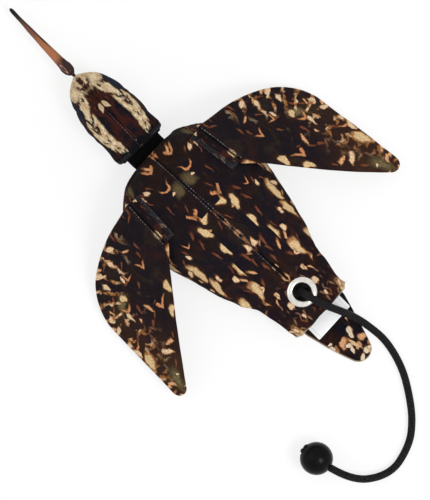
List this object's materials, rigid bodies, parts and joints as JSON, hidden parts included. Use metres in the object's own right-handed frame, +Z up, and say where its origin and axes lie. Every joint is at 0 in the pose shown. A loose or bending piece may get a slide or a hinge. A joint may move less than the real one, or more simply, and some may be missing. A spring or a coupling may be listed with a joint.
{
  "type": "training bumper",
  "caption": "Stuffed canvas training bumper shaped like a game bird, with flapping wings, a strap neck, a bill, and a throw cord with a ball through a tail eyelet.",
  "frame": {"origin": "on the surface the object lies on, under the middle of the bird without its throw cord, knots and ball", "axes": "+X towards the bill, +Y to the bird's left, +Z up; right-handed"},
  "size_m": [0.4305, 0.2334, 0.048],
  "materials": {
    "plumage_canvas": "printed cotton canvas in a mottled brown, cream and rust plumage pattern, matte",
    "stuffing": "polyester fibre filling",
    "wing_foam": "thin soft foam sheet",
    "webbing": "black woven webbing",
    "nickel": "nickel plated, lightly scuffed",
    "bill_skin": "glossy brown skin, nearly black at the tip",
    "label_cloth": "plain white woven label, bare",
    "braid": "black braided cord",
    "ball_finish": "black satin ball"
  },
  "bodies": {
    "body": {"belly_panel": "plumage_canvas", "back_panel_left": "plumage_canvas", "back_panel_right": "plumage_canvas", "body_stuffing": "stuffing", "wing_tab_left": "plumage_canvas", "wing_tab_right": "plumage_canvas", "eyelet": "nickel", "eyelet_washer": "nickel", "neck_strap_rear_end": "webbing", "throw_cord": "braid", "stopper_knot": "braid", "end_knot": "braid"},
    "neck": {"neck_strap": "webbing"},
    "head": {"neck_strap_front_end": "webbing", "head_panel_left": "plumage_canvas", "head_panel_right": "plumage_canvas", "head_stuffing": "stuffing"},
    "bill": {"bill": "bill_skin"},
    "left_wing": {"wing_left_upper_panel": "plumage_canvas", "wing_left_lower_panel": "plumage_canvas", "wing_left_foam": "wing_foam"},
    "right_wing": {"wing_right_upper_panel": "plumage_canvas", "wing_right_lower_panel": "plumage_canvas", "wing_right_foam": "wing_foam"},
    "tail": {"tail_upper_panel": "plumage_canvas", "tail_lower_panel": "plumage_canvas", "label": "label_cloth"},
    "ball": {"throw_ball": "ball_finish"}
  },
  "joints": [
    {"name": "neck_bend", "type": "hinge", "parent": "body", "child": "neck", "pos_m": [0.035, 0, 0.0185], "axis": [0, -1, 0], "range_deg": [-45, 45]},
    {"name": "head_twist", "type": "hinge", "parent": "neck", "child": "head", "pos_m": [0.0377, 0, 0.0185], "axis": [0.9976, -0.0698, 0], "range_deg": [-25, 25]},
    {"name": "bill_flex", "type": "hinge", "parent": "head", "child": "bill", "pos_m": [0.11312, -0.00527, 0.015], "axis": [-0.0698, -0.9976, 0], "range_deg": [-25, 25], "stiffness_Nm_per_rad": 0.05},
    {"name": "wing_left_flap", "type": "hinge", "parent": "body", "child": "left_wing", "pos_m": [-0.0175, 0.039, 0.04409], "axis": [0.9933, -0.0921, -0.0698], "range_deg": [0, 135]},
    {"name": "wing_right_flap", "type": "hinge", "parent": "body", "child": "right_wing", "pos_m": [-0.0175, -0.039, 0.04409], "axis": [-0.9933, -0.0921, 0.0698], "range_deg": [0, 135]},
    {"name": "tail_flap", "type": "hinge", "parent": "body", "child": "tail", "pos_m": [-0.08846, 0, 0.0069], "axis": [0, -1, 0], "range_deg": [0, 90]},
    {"name": "ball_spin", "type": "hinge", "parent": "body", "child": "ball", "pos_m": [-0.2023, 0.082, 0.012], "axis": [0.9959, 0.0906, 0], "continuous": true}
  ]
}
